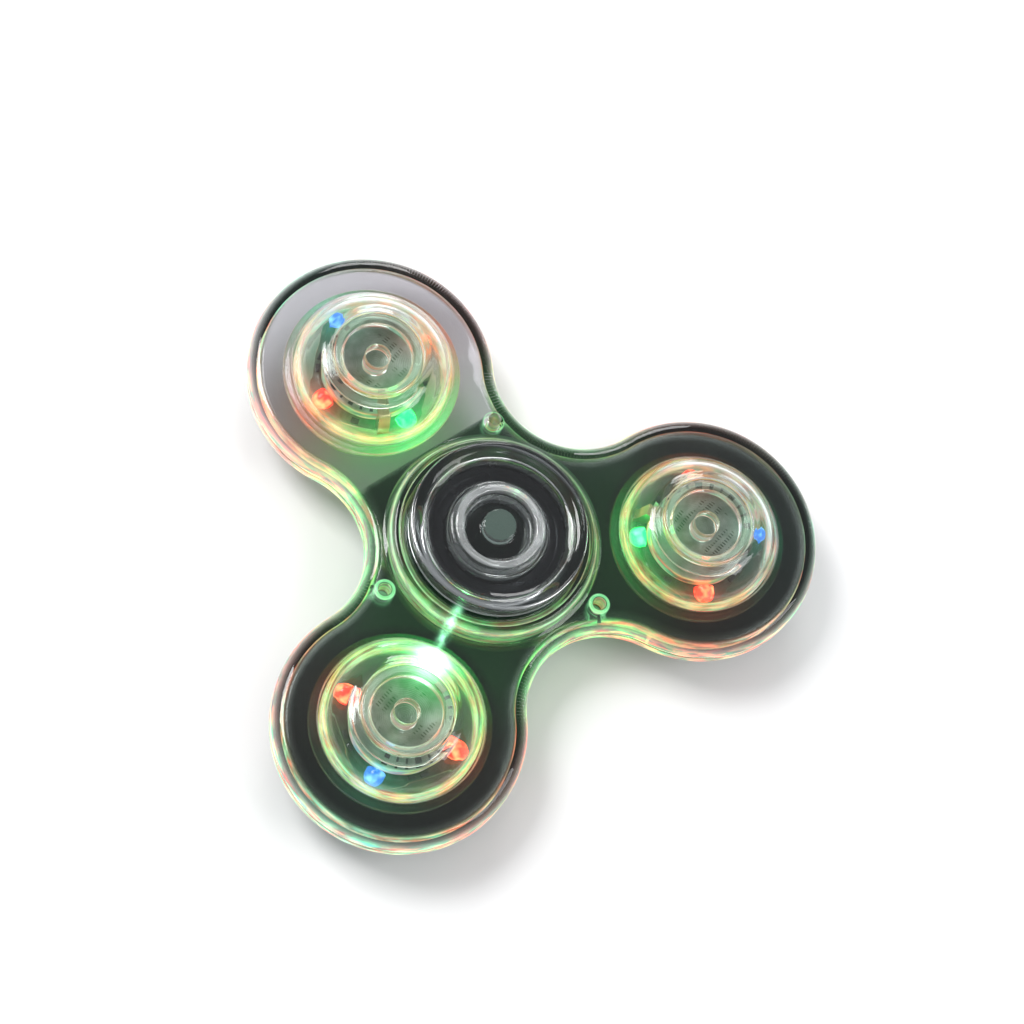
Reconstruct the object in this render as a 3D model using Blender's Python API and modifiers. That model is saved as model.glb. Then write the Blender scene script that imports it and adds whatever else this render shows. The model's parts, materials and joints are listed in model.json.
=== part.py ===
"""Light-up three-lobe hand spinner with a clear body.

Two clear half shells carry a ball bearing in their middle and one light capsule in each lobe. The clear hub
caps are held between finger and thumb while the body turns round them. Each capsule holds a coin cell, a square
circuit board and four lamps, and its round button is pressed to switch the lamps.

The spin axis is Z. The object stands on its lower hub cap, whose face is at Z = 0. Heights in the profiles are
measured from the seam between the half shells.
"""

import math

import bmesh
import bpy

MM = 0.001

# Driving dimensions, in metres.
SEAM_HEIGHT = 7.3 * MM  # half of the hub's height
LOBE_PITCH = 26.0 * MM  # from the spin axis to a lobe's centre
LOBE_RADIUS = 15.5 * MM
NECK_RADIUS = LOBE_PITCH - LOBE_RADIUS  # hollow arc of the outline between two lobes
LOBE_TURNS = {"a": 0.0, "b": 120.0, "c": 240.0}  # each lobe's direction, in degrees

SHELL_FACE = 2.6 * MM  # a shell's flat face
SHELL_ROUND = 1.8 * MM
SHELL_WALL = 1.5 * MM
SHELL_CEILING = 1.3 * MM
SHELL_RIM = 0.15 * MM  # each shell stops this far from the seam

COLLAR_TOP = 4.15 * MM
COLLAR_LIP_FACE = 3.7 * MM
COLLAR_BORE = 11.2 * MM
COLLAR_LIP_BORE = 10.0 * MM
COLLAR_RADIUS = 12.7 * MM
COLLAR_FOOT_RADIUS = 13.4 * MM

STUD_RING_RADIUS = 15.2 * MM  # where the studs that join the shells stand
STUD_RING_TURN = 84.5  # degrees round from lobe a
STUD_RADIUS = 1.2 * MM
STUD_SOCKET_RADIUS = 0.85 * MM
STUD_PIN_RADIUS = 0.6 * MM

BEARING_RADIUS = 11.0 * MM
BEARING_BORE = 4.0 * MM
BEARING_HALF = 3.5 * MM
RACE_OUTER_LAND = 9.1 * MM
RACE_INNER_LAND = 5.9 * MM
BALL_RADIUS = 1.985 * MM
BALL_PITCH = 7.5 * MM
BALL_COUNT = 7
CAGE_POCKET = 2.15 * MM

CAP_RADIUS = 10.83 * MM
CAP_FACE = SEAM_HEIGHT
CAP_DISH = 6.6 * MM
CAP_UNDERSIDE = 4.65 * MM
CAP_PAD_RADIUS = 2.0 * MM
CAP_RING_RADIUS = 5.4 * MM
CAP_SHOULDER = 3.7 * MM  # the face that rests on the bearing's inner ring
CAP_POST_RADIUS = 3.8 * MM
CAP_PIN_RADIUS = 2.0 * MM
CAP_SOCKET_RADIUS = 2.2 * MM

CAPSULE_RADIUS = 9.8 * MM
CAPSULE_HOLE = 10.0 * MM
CAPSULE_INSIDE = 8.9 * MM
CAPSULE_FLANGE = 11.0 * MM
LENS_TOP = 6.8 * MM
LENS_HOLE = 5.7 * MM
COVER_FACE = -4.9 * MM

BUTTON_RADIUS = 5.45 * MM
BUTTON_TOP = 7.1 * MM
BUTTON_INSIDE = 4.4 * MM
BUTTON_FLANGE = 6.2 * MM
BUTTON_PIN_RADIUS = 1.5 * MM

CELL_RADIUS = 6.25 * MM
CELL_BASE = 1.1 * MM
CELL_HEIGHT = 2.0 * MM
SNAP_BASE = 0.35 * MM
BOARD_TOP = 0.2 * MM
BOARD_THICKNESS = 0.8 * MM
BOARD_CORNER_RADIUS = 8.6 * MM
BOARD_FLAT = 7.0 * MM

LAMP_RADIUS = 1.2 * MM
LAMP_HEIGHT = 1.6 * MM  # a lamp's own axis
LAMP_BACK = 6.6 * MM
LAMP_LENGTH = 2.0 * MM

HUB_STEPS = 32
CAPSULE_STEPS = 24
SMALL_STEPS = 8

# Finishes: name, base colour, roughness, metallic.
CLEAR = ("clear_plastic", (0.80, 0.83, 0.83), 0.05, 0.0)
SMOKE = ("smoke_plastic", (0.16, 0.17, 0.18), 0.06, 0.0)
STEEL = ("bearing_steel", (0.62, 0.63, 0.64), 0.25, 1.0)
SHIELD = ("shield_steel", (0.22, 0.22, 0.23), 0.35, 1.0)
NYLON = ("cage_nylon", (0.86, 0.84, 0.76), 0.5, 0.0)
NICKEL = ("cell_nickel", (0.72, 0.72, 0.70), 0.3, 1.0)
SPRING = ("contact_spring", (0.83, 0.76, 0.58), 0.3, 1.0)
LAMINATE = ("board_laminate", (0.78, 0.80, 0.78), 0.5, 0.0)
EPOXY = ("black_epoxy", (0.03, 0.03, 0.03), 0.3, 0.0)
GREEN = ("lamp_green", (0.10, 0.95, 0.35), 0.1, 0.0)
RED = ("lamp_red", (0.98, 0.16, 0.12), 0.1, 0.0)
BLUE = ("lamp_blue", (0.25, 0.60, 1.00), 0.1, 0.0)


def clear_scene():
    """Removes whatever the file starts with."""
    for obj in list(bpy.data.objects):
        bpy.data.objects.remove(obj, do_unlink=True)


def new_collection(name):
    """A new collection in the scene."""
    made = bpy.data.collections.new(name)
    bpy.context.scene.collection.children.link(made)
    return made


def material(finish):
    """The Principled material of a finish, made the first time it is asked for."""
    name, colour, roughness, metallic = finish
    made = bpy.data.materials.get(name)
    if made is None:
        made = bpy.data.materials.new(name)
        made.use_nodes = True
        shader = made.node_tree.nodes["Principled BSDF"]
        shader.inputs["Base Color"].default_value = (*colour, 1.0)
        shader.inputs["Roughness"].default_value = roughness
        shader.inputs["Metallic"].default_value = metallic
    return made


def add_part(name, mesh, finish, parent):
    """Links a mesh as a named part, smooth apart from its sharp edges."""
    obj = bpy.data.objects.new(name, mesh)
    PARTS.objects.link(obj)
    obj.parent = parent
    mesh.materials.append(material(finish))
    mesh.shade_smooth()
    mesh.set_sharp_from_angle(angle=math.radians(35))
    return obj


def add_empty(name, location=(0.0, 0.0, 0.0), turn=0.0, parent=None):
    """A named empty that places the parts parented to it."""
    made = bpy.data.objects.new(name, None)
    PARTS.objects.link(made)
    made.parent = parent
    made.location = location
    made.rotation_euler.z = math.radians(turn)
    return made


def as_helper(obj):
    """Turns a part into a helper that only cuts or joins."""
    PARTS.objects.unlink(obj)
    HELPERS.objects.link(obj)
    obj.hide_render = True
    obj.display_type = "WIRE"
    return obj


def combine(obj, operation, helper):
    """Cuts or joins a helper with an exact Boolean."""
    modifier = obj.modifiers.new(f"{operation.lower()} {helper.name}", "BOOLEAN")
    modifier.operation = operation
    modifier.solver = "EXACT"
    modifier.object = helper


def turned(name, profile, steps, finish, parent):
    """A profile of (radius, height) points turned about Z. It runs down its outer side.

    A profile that starts on the axis ends on it too, and any other one is closed into a ring.
    """
    mesh = bpy.data.meshes.new(name)
    shape = bmesh.new()
    corners = [shape.verts.new((radius, 0.0, height)) for radius, height in profile]
    for first, second in zip(corners, corners[1:]):
        shape.edges.new((first, second))
    if profile[0][0] > 0.0:
        shape.edges.new((corners[-1], corners[0]))
    shape.to_mesh(mesh)
    shape.free()
    obj = add_part(name, mesh, finish, parent)
    screw = obj.modifiers.new("turn", "SCREW")
    screw.steps = steps
    screw.render_steps = steps
    screw.use_merge_vertices = True
    screw.merge_threshold = 0.00001
    screw.use_smooth_shade = True
    return obj


def lofted(name, rows, finish, parent):
    """A solid through rows of points, closed by a flat face at each end."""
    mesh = bpy.data.meshes.new(name)
    shape = bmesh.new()
    loops = [[shape.verts.new(point) for point in row] for row in rows]
    for lower, upper in zip(loops, loops[1:]):
        for i in range(len(lower)):
            shape.faces.new((lower[i - 1], lower[i], upper[i], upper[i - 1]))
    shape.faces.new(loops[0])
    shape.faces.new(loops[-1])
    bmesh.ops.recalc_face_normals(shape, faces=shape.faces)
    shape.to_mesh(mesh)
    shape.free()
    return add_part(name, mesh, finish, parent)


def extruded(name, outline, depth, finish, parent):
    """A flat outline of points extruded along a vector."""
    mesh = bpy.data.meshes.new(name)
    shape = bmesh.new()
    face = shape.faces.new([shape.verts.new(point) for point in outline])
    grown = bmesh.ops.extrude_face_region(shape, geom=[face])["geom"]
    moved = [item for item in grown if isinstance(item, bmesh.types.BMVert)]
    bmesh.ops.translate(shape, verts=moved, vec=depth)
    bmesh.ops.recalc_face_normals(shape, faces=shape.faces)
    shape.to_mesh(mesh)
    shape.free()
    return add_part(name, mesh, finish, parent)


def plate(name, outline, low, high, finish, parent):
    """An (x, y) outline given a thickness along Z."""
    return extruded(name, [(x, y, low) for x, y in outline], (0.0, 0.0, high - low), finish, parent)


def strip(name, outline, width, finish, parent):
    """An (x, z) outline given a width along Y."""
    return extruded(name, [(x, -width / 2, z) for x, z in outline], (0.0, width, 0.0), finish, parent)


def spheres(name, radius, centres, finish, parent):
    """One mesh of separate balls."""
    mesh = bpy.data.meshes.new(name)
    shape = bmesh.new()
    for centre in centres:
        ball = bmesh.ops.create_uvsphere(shape, u_segments=12, v_segments=6, radius=radius)
        bmesh.ops.translate(shape, verts=ball["verts"], vec=centre)
    shape.to_mesh(mesh)
    shape.free()
    return add_part(name, mesh, finish, parent)


def polar(radius, degrees, centre=(0.0, 0.0)):
    """The (x, y) point at a radius and an angle from a centre."""
    angle = math.radians(degrees)
    return (centre[0] + radius * math.cos(angle), centre[1] + radius * math.sin(angle))


def arc(centre, radius, start, end, steps):
    """Points on an arc, from one angle in degrees to another."""
    return [polar(radius, start + (end - start) * i / steps, centre) for i in range(steps + 1)]


def facing(side, profile):
    """A profile as it is for the upper half, or mirrored in the seam for the lower one."""
    if side > 0:
        return profile
    return [(radius, -height) for radius, height in reversed(profile)]


def spinner_outline(inset):
    """The outline of three lobes joined by hollow arcs, moved in by an inset."""
    points = []
    for turn in LOBE_TURNS.values():
        lobe = polar(LOBE_PITCH, turn)
        points += arc(lobe, LOBE_RADIUS - inset, turn - 120, turn + 120, 20)
        neck = polar(LOBE_PITCH, turn + 60)
        points += arc(neck, NECK_RADIUS + inset, turn + 300, turn + 180, 8)[1:-1]
    return points


def shell_body(name, side):
    """A hollow half shell with a rounded outer edge, before its holes are cut."""
    edge = arc((SHELL_ROUND, SHELL_FACE - SHELL_ROUND), SHELL_ROUND, 180, 90, 4)
    section = [
        (SHELL_WALL + 0.5 * MM, SHELL_CEILING),
        (SHELL_WALL, SHELL_CEILING - 0.5 * MM),
        (SHELL_WALL, SHELL_RIM),
        (0.0, SHELL_RIM),
        *edge,
    ]
    rows = [[(x, y, side * height) for x, y in spinner_outline(inset)] for inset, height in section]
    return lofted(name, rows, SMOKE, SPINNER)


def collar(name, side):
    """The raised ring that holds the bearing, with a lip over the bearing's edge."""
    profile = [
        (COLLAR_RADIUS - 0.5 * MM, COLLAR_TOP),
        (COLLAR_RADIUS, COLLAR_TOP - 0.5 * MM),
        (COLLAR_RADIUS, SHELL_FACE + 0.5 * MM),
        (COLLAR_FOOT_RADIUS, SHELL_FACE),
        (COLLAR_FOOT_RADIUS, SHELL_CEILING + 0.2 * MM),
        (COLLAR_RADIUS, SHELL_CEILING - 0.4 * MM),
        (COLLAR_RADIUS, SHELL_RIM),
        (COLLAR_BORE, SHELL_RIM),
        (COLLAR_BORE, COLLAR_LIP_FACE),
        (COLLAR_LIP_BORE, COLLAR_LIP_FACE),
        (COLLAR_LIP_BORE, COLLAR_TOP),
    ]
    return turned(name, facing(side, profile), HUB_STEPS, SMOKE, SPINNER)


def stud(name, side, parent):
    """A stud inside the shells. The upper one is the tube that the lower one's pin enters."""
    root = (SHELL_CEILING + SHELL_FACE) / 2
    foot = 2 * SHELL_RIM
    upper = [
        (0.0, root),
        (STUD_RADIUS, root),
        (STUD_RADIUS, foot),
        (STUD_SOCKET_RADIUS, foot),
        (STUD_SOCKET_RADIUS, SHELL_CEILING),
        (0.0, SHELL_CEILING),
    ]
    lower = [
        (0.0, SHELL_CEILING - 0.4 * MM),
        (STUD_PIN_RADIUS, SHELL_CEILING - 0.6 * MM),
        (STUD_PIN_RADIUS, -foot),
        (STUD_RADIUS, -foot),
        (STUD_RADIUS, -root),
        (0.0, -root),
    ]
    return turned(name, upper if side > 0 else lower, SMALL_STEPS, SMOKE, parent)


def build_shell(name, side):
    """A half shell with its bearing collar, capsule holes and joining studs."""
    shell = shell_body(name, side)
    reach = side * 2 * SHELL_FACE
    hub_hole = arc((0.0, 0.0), (COLLAR_BORE + COLLAR_RADIUS) / 2, 0, 348.75, 31)
    combine(shell, "DIFFERENCE", as_helper(plate(f"{name}_hub_hole", hub_hole, 0.0, reach, SMOKE, SPINNER)))
    combine(shell, "UNION", as_helper(collar(f"{name}_collar", side)))
    for lobe, turn in LOBE_TURNS.items():
        outline = arc(polar(LOBE_PITCH, turn), CAPSULE_HOLE, turn, turn + 345, 23)
        hole = plate(f"{name}_hole_{lobe}", outline, 0.0, reach, SMOKE, SPINNER)
        combine(shell, "DIFFERENCE", as_helper(hole))
        place = add_empty(
            f"{name}_stud_place_{lobe}", (*polar(STUD_RING_RADIUS, STUD_RING_TURN + turn), 0.0), 0.0, SPINNER
        )
        combine(shell, "UNION", as_helper(stud(f"{name}_stud_{lobe}", side, place)))
    return shell


def build_bearing():
    """A seven-ball bearing with a ribbon of pockets between its rings and a shield on each side."""
    top = BEARING_HALF
    outer = [
        (BEARING_RADIUS - 0.3 * MM, top),
        (BEARING_RADIUS, top - 0.3 * MM),
        (BEARING_RADIUS, 0.3 * MM - top),
        (BEARING_RADIUS - 0.3 * MM, -top),
        (RACE_OUTER_LAND, -top),
        (RACE_OUTER_LAND, -1.5 * MM),
        (RACE_OUTER_LAND + 0.35 * MM, -0.9 * MM),
        (RACE_OUTER_LAND + 0.52 * MM, 0.0),
        (RACE_OUTER_LAND + 0.35 * MM, 0.9 * MM),
        (RACE_OUTER_LAND, 1.5 * MM),
        (RACE_OUTER_LAND, top),
    ]
    turned("bearing_outer_ring", outer, HUB_STEPS, STEEL, SPINNER)
    inner = [
        (RACE_INNER_LAND, top),
        (RACE_INNER_LAND, 1.5 * MM),
        (RACE_INNER_LAND - 0.35 * MM, 0.9 * MM),
        (RACE_INNER_LAND - 0.52 * MM, 0.0),
        (RACE_INNER_LAND - 0.35 * MM, -0.9 * MM),
        (RACE_INNER_LAND, -1.5 * MM),
        (RACE_INNER_LAND, -top),
        (BEARING_BORE, -top),
        (BEARING_BORE, top),
    ]
    turned("bearing_inner_ring", inner, HUB_STEPS, STEEL, HUB)
    shield = [
        (8.85 * MM, 3.2 * MM),
        (8.85 * MM, 2.9 * MM),
        (6.15 * MM, 2.9 * MM),
        (6.15 * MM, 3.2 * MM),
    ]
    turned("bearing_shield_top", shield, HUB_STEPS, SHIELD, SPINNER)
    turned("bearing_shield_bottom", facing(-1, shield), HUB_STEPS, SHIELD, SPINNER)

    centres = [(*polar(BALL_PITCH, 360 * i / BALL_COUNT), 0.0) for i in range(BALL_COUNT)]
    band = [
        (7.95 * MM, 0.9 * MM),
        (7.95 * MM, -2.6 * MM),
        (7.05 * MM, -2.6 * MM),
        (7.05 * MM, 0.9 * MM),
    ]
    cage = turned("bearing_cage", band, HUB_STEPS, NYLON, CAGE)
    combine(cage, "DIFFERENCE", as_helper(spheres("cage_pockets", CAGE_POCKET, centres, NYLON, CAGE)))
    for number, centre in enumerate(centres, start=1):
        place = add_empty(f"ball_place_{number}", centre, 0.0, CAGE)
        spheres(f"bearing_ball_{number}", BALL_RADIUS, [(0.0, 0.0, 0.0)], STEEL, place)


def cap_profile(axis_points):
    """A hub cap's outer profile, which ends at its post, followed by the points of its middle."""
    return [
        (0.0, CAP_FACE),
        (CAP_PAD_RADIUS, CAP_FACE),
        (CAP_PAD_RADIUS + 0.2 * MM, CAP_DISH),
        (CAP_RING_RADIUS - 0.9 * MM, CAP_DISH),
        (CAP_RING_RADIUS - 0.8 * MM, CAP_DISH + 0.2 * MM),
        (CAP_RING_RADIUS, CAP_DISH + 0.2 * MM),
        (CAP_RING_RADIUS + 0.1 * MM, CAP_DISH),
        (CAP_RADIUS - 1.9 * MM, CAP_DISH),
        (CAP_RADIUS - 1.2 * MM, CAP_FACE),
        (CAP_RADIUS - 0.4 * MM, CAP_FACE),
        (CAP_RADIUS, CAP_FACE - 0.4 * MM),
        (CAP_RADIUS, CAP_UNDERSIDE),
        (CAP_RADIUS - 1.2 * MM, CAP_UNDERSIDE),
        (CAP_RADIUS - 1.2 * MM, CAP_UNDERSIDE + 0.9 * MM),
        (CAP_RING_RADIUS + 0.5 * MM, CAP_UNDERSIDE + 0.9 * MM),
        (CAP_RING_RADIUS + 0.2 * MM, CAP_SHOULDER),
        (CAP_POST_RADIUS, CAP_SHOULDER),
        *axis_points,
    ]


def build_hub():
    """The two caps held between finger and thumb. The upper one's pin enters the lower one's socket."""
    pin = [
        (CAP_POST_RADIUS, 0.2 * MM),
        (CAP_PIN_RADIUS, 0.2 * MM),
        (CAP_PIN_RADIUS, -2.2 * MM),
        (CAP_PIN_RADIUS - 0.3 * MM, -2.5 * MM),
        (0.0, -2.5 * MM),
    ]
    socket = [
        (CAP_POST_RADIUS, 0.2 * MM),
        (CAP_SOCKET_RADIUS, 0.2 * MM),
        (CAP_SOCKET_RADIUS, 2.8 * MM),
        (0.0, 2.8 * MM),
    ]
    turned("hub_cap_top", cap_profile(pin), HUB_STEPS, SMOKE, HUB)
    turned("hub_cap_bottom", facing(-1, cap_profile(socket)), HUB_STEPS, SMOKE, HUB)


def build_housing(lobe, place):
    """A capsule's clear lens and base cover, held by their flanges between the shells."""
    outer = [
        (LENS_HOLE + 0.3 * MM, LENS_TOP),
        (LENS_HOLE + 1.0 * MM, LENS_TOP - 0.15 * MM),
        (7.9 * MM, 5.9 * MM),
        (9.0 * MM, 4.9 * MM),
        (CAPSULE_RADIUS - 0.15 * MM, 3.8 * MM),
        (CAPSULE_RADIUS, 2.9 * MM),
        (CAPSULE_RADIUS, 1.0 * MM),
        (CAPSULE_FLANGE, 1.0 * MM),
        (CAPSULE_FLANGE, SHELL_RIM),
    ]
    inner = [
        (CAPSULE_INSIDE, SHELL_RIM),
        (CAPSULE_INSIDE, 3.1 * MM),
        (8.2 * MM, 4.4 * MM),
        (7.1 * MM, 5.4 * MM),
        (LENS_HOLE, 5.9 * MM),
        (LENS_HOLE, LENS_TOP - 0.2 * MM),
    ]
    turned(f"lens_dome_{lobe}", outer + inner, CAPSULE_STEPS, CLEAR, place)
    cover = [
        (0.0, -0.9 * MM - COVER_FACE),
        (CAPSULE_INSIDE, -0.9 * MM - COVER_FACE),
        (CAPSULE_INSIDE, SHELL_RIM),
        (CAPSULE_FLANGE, SHELL_RIM),
        (CAPSULE_FLANGE, 1.0 * MM),
        (CAPSULE_RADIUS, 1.0 * MM),
        (CAPSULE_RADIUS, -1.2 * MM - COVER_FACE),
        (CAPSULE_RADIUS - 0.35 * MM, -0.35 * MM - COVER_FACE),
        (CAPSULE_RADIUS - 1.2 * MM, -COVER_FACE),
        (0.0, -COVER_FACE),
    ]
    turned(f"base_cover_{lobe}", [(r, -z) for r, z in cover], CAPSULE_STEPS, CLEAR, place)


def build_button(lobe, place):
    """The button with the coin cell under it, which moves down with the button."""
    button = [
        (0.0, BUTTON_TOP),
        (BUTTON_RADIUS - 0.3 * MM, BUTTON_TOP),
        (BUTTON_RADIUS, BUTTON_TOP - 0.3 * MM),
        (BUTTON_RADIUS, 5.0 * MM),
        (BUTTON_FLANGE, 5.0 * MM),
        (BUTTON_FLANGE, 4.5 * MM),
        (BUTTON_INSIDE, 4.5 * MM),
        (BUTTON_INSIDE, 6.1 * MM),
        (BUTTON_PIN_RADIUS, 6.1 * MM),
        (BUTTON_PIN_RADIUS, 3.3 * MM),
        (0.0, 3.3 * MM),
    ]
    turned(f"push_button_{lobe}", button, CAPSULE_STEPS, CLEAR, place)
    top = CELL_BASE + CELL_HEIGHT
    cell = [
        (0.0, top),
        (CELL_RADIUS - 0.25 * MM, top),
        (CELL_RADIUS, top - 0.25 * MM),
        (CELL_RADIUS, CELL_BASE + 0.3 * MM),
        (CELL_RADIUS - 0.6 * MM, CELL_BASE + 0.2 * MM),
        (CELL_RADIUS - 0.8 * MM, CELL_BASE),
        (0.0, CELL_BASE),
    ]
    turned(f"coin_cell_{lobe}", cell, CAPSULE_STEPS, NICKEL, place)


def build_circuit(lobe, place):
    """The square board with its snap dome, chip, battery contact and four lamps."""
    outline = []
    half = math.degrees(math.acos(BOARD_FLAT / BOARD_CORNER_RADIUS))
    for corner in range(4):
        outline += arc((0.0, 0.0), BOARD_CORNER_RADIUS, 90 * corner + half - 45, 90 * corner + 45 - half, 2)
    plate(f"circuit_board_{lobe}", outline, BOARD_TOP - BOARD_THICKNESS, BOARD_TOP, LAMINATE, place)
    chip = [(2.2 * MM, 1.6 * MM), (-2.2 * MM, 1.6 * MM), (-2.2 * MM, -1.6 * MM), (2.2 * MM, -1.6 * MM)]
    plate(f"controller_chip_{lobe}", chip, -1.8 * MM, -0.75 * MM, EPOXY, place)
    snap = [
        (0.0, 0.6 * MM),
        (1.4 * MM, 0.5 * MM),
        (2.6 * MM, 0.12 * MM),
        (2.6 * MM, 0.0),
        (2.3 * MM, 0.0),
        (1.3 * MM, 0.36 * MM),
        (0.0, 0.45 * MM),
    ]
    dome = turned(f"snap_dome_{lobe}", snap, CAPSULE_STEPS // 2, SPRING, place)
    dome.location.z = SNAP_BASE
    arm = [
        (8.0 * MM, 0.35 * MM),
        (8.0 * MM, 0.6 * MM),
        (6.85 * MM, 0.6 * MM),
        (6.85 * MM, 3.65 * MM),
        (5.2 * MM, 3.65 * MM),
        (5.2 * MM, 3.4 * MM),
        (6.6 * MM, 3.4 * MM),
        (6.6 * MM, 0.35 * MM),
    ]
    contact = strip(f"contact_arm_{lobe}", arm, 1.4 * MM, SPRING, place)
    contact.rotation_euler.z = math.radians(156)

    lamp = [
        (0.0, LAMP_LENGTH),
        (0.65 * LAMP_RADIUS, LAMP_LENGTH - 0.3 * MM),
        (LAMP_RADIUS, LAMP_LENGTH - 1.0 * MM),
        (LAMP_RADIUS, 0.0),
        (0.0, 0.0),
    ]
    sockets = (("blue", BLUE, 0), ("red_left", RED, 90), ("green", GREEN, 180), ("red_right", RED, 270))
    for name, finish, turn in sockets:
        made = turned(f"led_{name}_{lobe}", lamp, SMALL_STEPS, finish, place)
        made.location = (*polar(LAMP_BACK, turn), LAMP_HEIGHT)
        made.rotation_euler = (0.0, math.pi / 2, math.radians(turn))


clear_scene()
PARTS = new_collection("light_up_spinning_top")
HELPERS = new_collection("helpers")
HUB = add_empty("hub", (0.0, 0.0, SEAM_HEIGHT))
SPINNER = add_empty("spinner", (0.0, 0.0, SEAM_HEIGHT))
CAGE = add_empty("cage", (0.0, 0.0, SEAM_HEIGHT))

build_shell("top_shell", 1)
build_shell("bottom_shell", -1)
build_bearing()
build_hub()
for lobe_name, lobe_turn in LOBE_TURNS.items():
    capsule = add_empty(f"capsule_{lobe_name}", (*polar(LOBE_PITCH, lobe_turn), 0.0), lobe_turn, SPINNER)
    build_housing(lobe_name, capsule)
    build_button(lobe_name, capsule)
    build_circuit(lobe_name, capsule)
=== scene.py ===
"""A clear three-lobed hand spinner with lamps in its lobes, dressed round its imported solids.

Every piece is modelled about its own middle, in the seam's plane, and carried to its place in its mesh. Shapes
are given in millimetres. Places, materials and the studio are in metres, like the meshes.
"""

from __future__ import annotations

import json
import logging
import math
from collections.abc import Iterable, Sequence
from dataclasses import dataclass, field, replace
from enum import Enum

import bmesh
import bpy
from bmesh.types import BMesh, BMFace, BMVert
from bpy.types import Material, Object
from mathutils import Matrix, Quaternion, Vector

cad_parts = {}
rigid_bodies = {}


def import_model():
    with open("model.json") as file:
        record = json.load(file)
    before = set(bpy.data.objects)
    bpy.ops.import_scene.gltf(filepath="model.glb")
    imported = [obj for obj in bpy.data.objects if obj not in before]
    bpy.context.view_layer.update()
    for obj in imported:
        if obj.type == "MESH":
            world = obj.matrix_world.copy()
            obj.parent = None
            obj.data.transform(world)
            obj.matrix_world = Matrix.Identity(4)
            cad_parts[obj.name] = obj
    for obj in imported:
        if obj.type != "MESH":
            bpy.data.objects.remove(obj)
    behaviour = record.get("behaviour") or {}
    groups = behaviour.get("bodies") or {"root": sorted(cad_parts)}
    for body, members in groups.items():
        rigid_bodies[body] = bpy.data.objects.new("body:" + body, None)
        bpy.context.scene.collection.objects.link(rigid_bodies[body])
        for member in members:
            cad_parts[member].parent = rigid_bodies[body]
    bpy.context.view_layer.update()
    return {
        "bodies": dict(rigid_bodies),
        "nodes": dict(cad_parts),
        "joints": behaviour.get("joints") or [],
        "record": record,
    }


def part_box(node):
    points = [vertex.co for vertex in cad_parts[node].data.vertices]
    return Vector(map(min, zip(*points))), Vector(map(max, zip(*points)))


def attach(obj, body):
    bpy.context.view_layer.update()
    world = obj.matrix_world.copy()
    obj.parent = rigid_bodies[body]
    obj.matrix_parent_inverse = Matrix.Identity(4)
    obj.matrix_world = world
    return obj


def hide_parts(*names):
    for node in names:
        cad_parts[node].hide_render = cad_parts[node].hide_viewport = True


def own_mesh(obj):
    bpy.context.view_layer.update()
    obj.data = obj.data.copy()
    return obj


LOG = logging.getLogger("hand_spinner")
MM = 0.001
UP = Vector((0.0, 0.0, 1.0))
Colour = tuple[float, float, float]
Row = tuple[float, ...]
Socket = bpy.types.NodeSocket
STUD_RING = 15.2
STUD_TURN = 84.5
KEEN_LOBE = "c"
KEEN_POWER = 9.0


class Side(Enum):
    """The half of the spinner that a piece belongs to."""

    UPPER = 1
    LOWER = -1


class Lamp(Enum):
    """A lamp, with its direction in its capsule: 0 looks away from the hub.

    Each has its label, direction in degrees, colour, hot colour, the colour of its light when the plastic has
    caught it, its share of the glow's reach, its share of the glow on flat faces, and its power.
    """

    BLUE = ("blue", 0.0, (0.02, 0.16, 0.60), (0.20, 0.55, 1.0), (0.03, 0.80, 0.42), 1.0, 0.2, 1.2)
    RED_LEFT = ("red_left", 90.0, (1.0, 0.02, 0.012), (1.0, 0.20, 0.08), (1.0, 0.07, 0.04), 1.0, 0.3, 3.2)
    GREEN = ("green", 180.0, (0.01, 1.0, 0.14), (0.12, 1.0, 0.30), (0.02, 0.95, 0.15), 2.3, 1.0, 2.8)
    RED_RIGHT = ("red_right", 270.0, (1.0, 0.02, 0.012), (1.0, 0.20, 0.08), (1.0, 0.07, 0.04), 1.0, 0.3, 3.2)

    def __init__(
        self,
        label: str,
        turn: float,
        colour: Colour,
        hot: Colour,
        caught: Colour,
        reach: float,
        spill: float,
        power: float,
    ) -> None:
        """Keeps the lamp's values."""
        self.label = label
        self.turn = turn
        self.colour = colour
        self.hot = hot
        self.caught = caught
        self.reach = reach
        self.spill = spill
        self.power = power


@dataclass(frozen=True)
class Corner:
    """A corner of a turned profile in millimetres, rounded by a bevel when it is soft."""

    radius: float
    height: float
    soft: float = 0.0
    segments: int = 4


# ---------------------------------------------------------------------------------------------------------------
# Modelling


def moved(shape: BMesh, matrix: Matrix) -> BMesh:
    """Moves a shape, in place."""
    bmesh.ops.transform(shape, matrix=matrix, verts=shape.verts)
    return shape


def turned(profile: Sequence[Row], steps: int) -> BMesh:
    """Spins a profile about Z and rounds its soft corners.

    Args:
        profile: A row of values for each Corner. A profile that starts on the axis ends on it, and any other is
            closed into a ring.
        steps: How many faces go round.

    Returns:
        A closed shape with its faces outwards.
    """
    shape = bmesh.new()
    corners = [Corner(*row) for row in profile]
    points = [shape.verts.new((c.radius * MM, 0.0, c.height * MM)) for c in corners]
    lines = [shape.edges.new(pair) for pair in zip(points, points[1:])]
    if corners[0].radius > 0.0:
        lines.append(shape.edges.new((points[-1], points[0])))
    bmesh.ops.spin(
        shape, geom=points + lines, cent=(0, 0, 0), axis=UP, angle=math.tau, steps=steps, use_merge=True
    )
    bmesh.ops.remove_doubles(shape, verts=shape.verts, dist=1e-7)
    bmesh.ops.recalc_face_normals(shape, faces=shape.faces)
    for corner in corners:
        if corner.soft > 0.0:
            soften(shape, corner)
    return shape


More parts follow.
